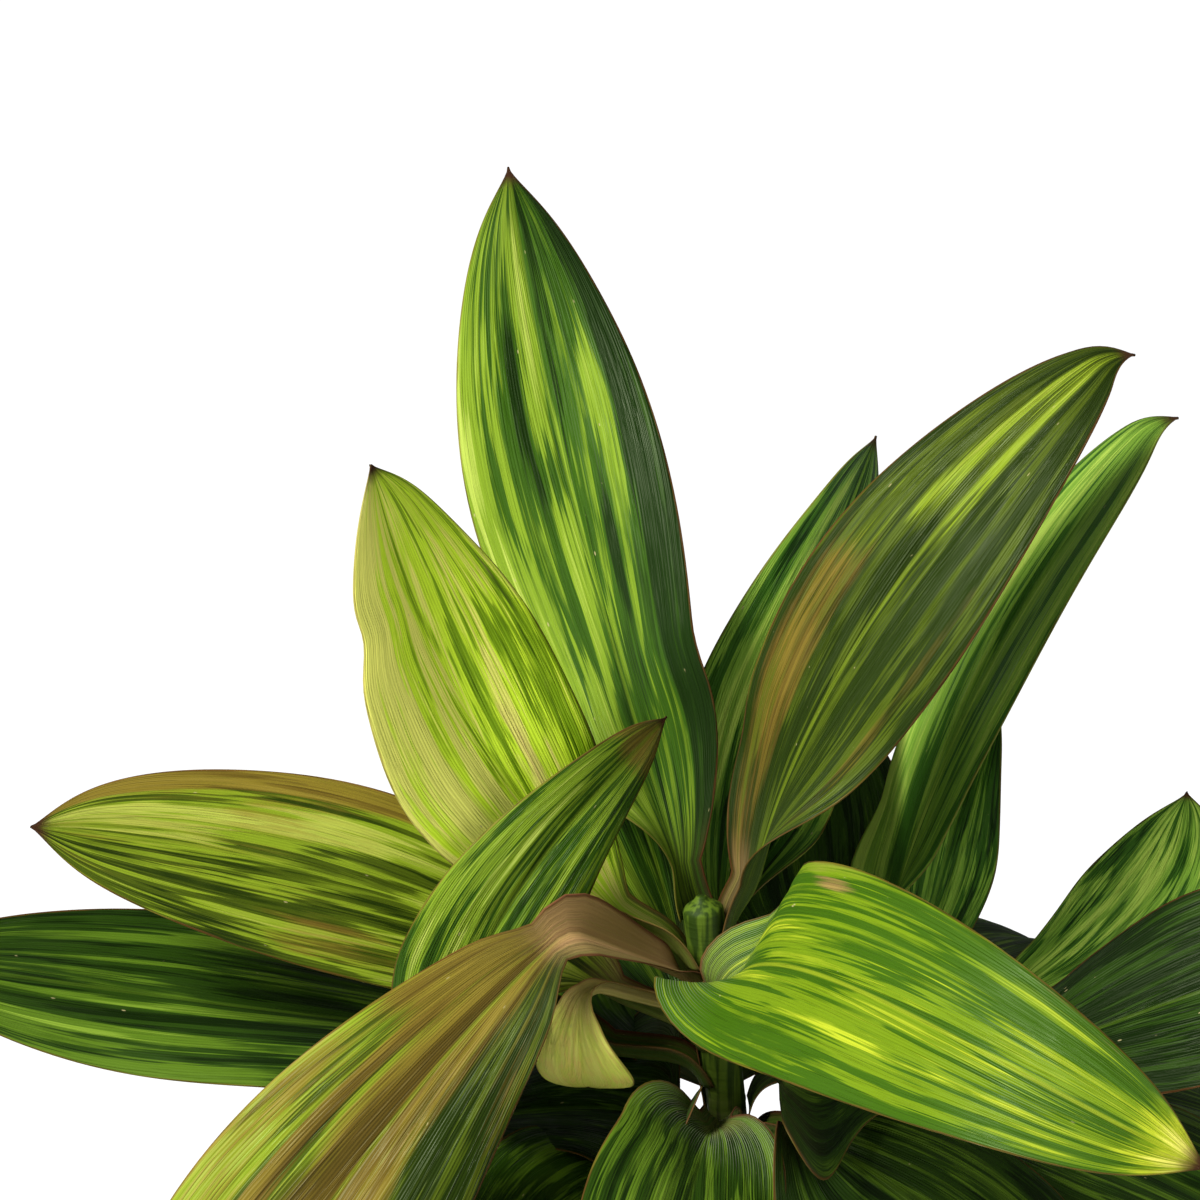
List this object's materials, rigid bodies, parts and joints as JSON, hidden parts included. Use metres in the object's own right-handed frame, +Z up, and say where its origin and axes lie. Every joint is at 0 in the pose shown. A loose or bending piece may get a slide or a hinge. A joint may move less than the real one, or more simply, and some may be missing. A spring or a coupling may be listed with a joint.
{
  "type": "potted cordyline",
  "caption": "Bushy houseplant with broad, striped, pointed leaves on upright canes, in a plain round tapered pot",
  "frame": {"origin": "centre of the pot's flat underside, on the surface the pot stands on", "axes": "+Z up; the plant's front, the side in the picture, faces -Y; +X is to the viewer's right"},
  "size_m": [0.557, 0.4365, 0.5696],
  "materials": {
    "pot": "matte unglazed clay",
    "soil": "loose dark potting mix",
    "cane": "dull ringed bark",
    "leaf_lime": "waxy, lime green and yellow with green stripes and a brown margin",
    "leaf_green": "waxy, mid green with lime stripes and a thin brown margin",
    "leaf_bronze": "waxy, olive and tan flushed with orange, dark green stripes and a brown margin",
    "leaf_dark": "waxy, very dark green with a few paler stripes"
  },
  "bodies": {
    "root": {"pot": "pot", "soil": "soil", "cane_main": "cane", "cane_right": "cane", "cane_left": "cane", "leaf_tall": "leaf_green", "leaf_right_high": "leaf_bronze", "leaf_lime": "leaf_lime", "leaf_right_rear": "leaf_green", "leaf_front_left": "leaf_bronze", "leaf_curled": "leaf_lime", "leaf_front_right": "leaf_lime", "leaf_left": "leaf_bronze", "leaf_back_a": "leaf_green", "leaf_left_low": "leaf_dark", "leaf_back_b": "leaf_green", "leaf_inner_right": "leaf_dark", "leaf_front": "leaf_dark", "leaf_inner_left": "leaf_dark", "leaf_right_low": "leaf_dark", "leaf_back_c": "leaf_dark", "leaf_front_low": "leaf_dark", "leaf_right_slim": "leaf_green", "leaf_right_edge": "leaf_green", "leaf_shade": "leaf_dark", "leaf_far_right": "leaf_green", "leaf_right_side": "leaf_dark", "leaf_back_d": "leaf_dark", "leaf_right_under": "leaf_dark", "leaf_back_e": "leaf_dark", "leaf_right_foot": "leaf_dark", "leaf_left_upright": "leaf_green", "leaf_left_hanging": "leaf_green", "leaf_back_f": "leaf_dark", "leaf_left_front": "leaf_green", "leaf_left_rear": "leaf_dark"}
  },
  "joints": []
}
